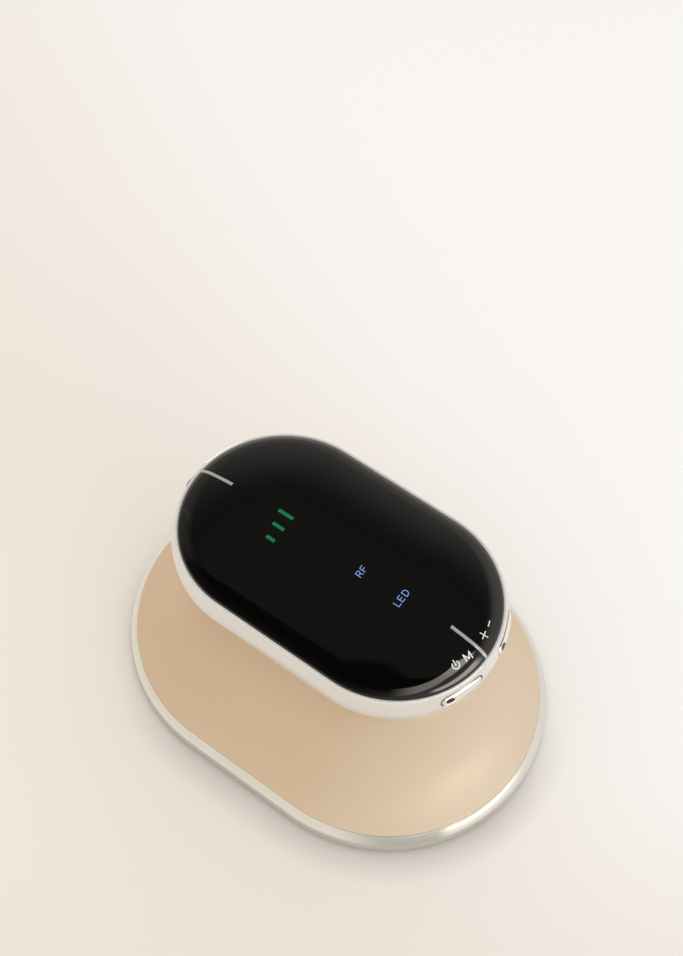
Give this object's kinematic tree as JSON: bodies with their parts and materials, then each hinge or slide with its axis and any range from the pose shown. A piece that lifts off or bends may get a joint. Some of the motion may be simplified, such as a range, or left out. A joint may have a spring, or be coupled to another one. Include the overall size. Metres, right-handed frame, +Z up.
{
  "type": "handheld rf body care device",
  "caption": "Cordless handheld body care device: gloss capsule head, chrome band with rocker keys, waisted flared body and a flat treatment face with electrodes and a light window.",
  "frame": {"origin": "middle of the outline, on the surface that the electrodes rest on", "axes": "+X along the long axis towards the two rocker keys, +Y across, +Z up through the black cover"},
  "size_m": [0.1198, 0.0868, 0.065],
  "materials": {
    "cover_black": "polished, faintly smoky piano black",
    "inlay_silver": "fine satin",
    "trim_chrome": "polished, warm reflection",
    "key_chrome": "polished",
    "body_champagne": "satin champagne paint",
    "ring_satin": "satin nickel",
    "mask_black": "matte",
    "diffuser_film": "frosted",
    "circuit_board": "solder-masked glass laminate",
    "led_board_white": "white solder mask",
    "led_chip": "phosphor",
    "seal_rubber": "matte",
    "screw_steel": "zinc plated",
    "frame_grey": "fine spark texture",
    "switch_metal": "stamped",
    "socket_black": "moulded",
    "battery_blue": "shrink sleeve",
    "brass_plate": "plated",
    "ferrite_core": "sintered",
    "copper_winding": "enamelled wire",
    "capacitor_sleeve": "printed sleeve",
    "chip_black": "moulded epoxy",
    "ribbon_film": "polyimide film",
    "lead_red": "silicone",
    "lead_grey": "silicone",
    "plate_white": "warm white, smooth",
    "lens_clear": "frosted clear",
    "electrode_steel": "polished stainless"
  },
  "bodies": {
    "housing": {"top_cover": "cover_black", "key_end_inlay": "inlay_silver", "socket_end_inlay": "inlay_silver", "light_mask": "mask_black", "display_diffuser": "diffuser_film", "display_board": "circuit_board", "display_leds": "led_chip", "cover_gasket": "seal_rubber", "cover_screws": "screw_steel", "trim_band": "trim_chrome", "head_tray": "frame_grey", "rocker_pins": "screw_steel", "rocker_carrier": "mask_black", "switch_boards": "circuit_board", "tact_switches": "switch_metal", "socket_shell": "switch_metal", "socket_tongue": "socket_black", "socket_board": "circuit_board", "body_shell": "body_champagne", "neck_screws": "screw_steel", "battery_tray": "frame_grey", "battery_pack": "battery_blue", "battery_pad": "seal_rubber", "board_screws": "screw_steel", "board_standoffs": "brass_plate", "main_board": "circuit_board", "rf_transformer": "ferrite_core", "output_inductors": "copper_winding", "board_capacitors": "capacitor_sleeve", "control_chips": "chip_black", "buzzer": "socket_black", "head_ribbon": "ribbon_film", "battery_leads": "lead_red", "electrode_leads": "lead_grey", "inner_chassis": "frame_grey", "led_board": "led_board_white", "treatment_leds": "led_chip", "base_ring": "ring_satin", "base_gasket": "seal_rubber", "treatment_plate": "plate_white", "led_lens": "lens_clear", "rf_electrodes": "electrode_steel", "electrode_springs": "brass_plate", "temperature_sensor": "electrode_steel", "base_screws": "screw_steel"},
    "power_mode_rocker": {"power_mode_key": "key_chrome"},
    "plus_minus_rocker": {"plus_minus_key": "key_chrome"}
  },
  "joints": [
    {"name": "power_mode_rock", "type": "hinge", "parent": "housing", "child": "power_mode_rocker", "pos_m": [0.0372, -0.00745, 0.0566], "axis": [0, 0, 1], "range_deg": [-2, 2], "stiffness_Nm_per_rad": 0.2},
    {"name": "plus_minus_rock", "type": "hinge", "parent": "housing", "child": "plus_minus_rocker", "pos_m": [0.0372, 0.00745, 0.0566], "axis": [0, 0, 1], "range_deg": [-2, 2], "stiffness_Nm_per_rad": 0.2}
  ]
}
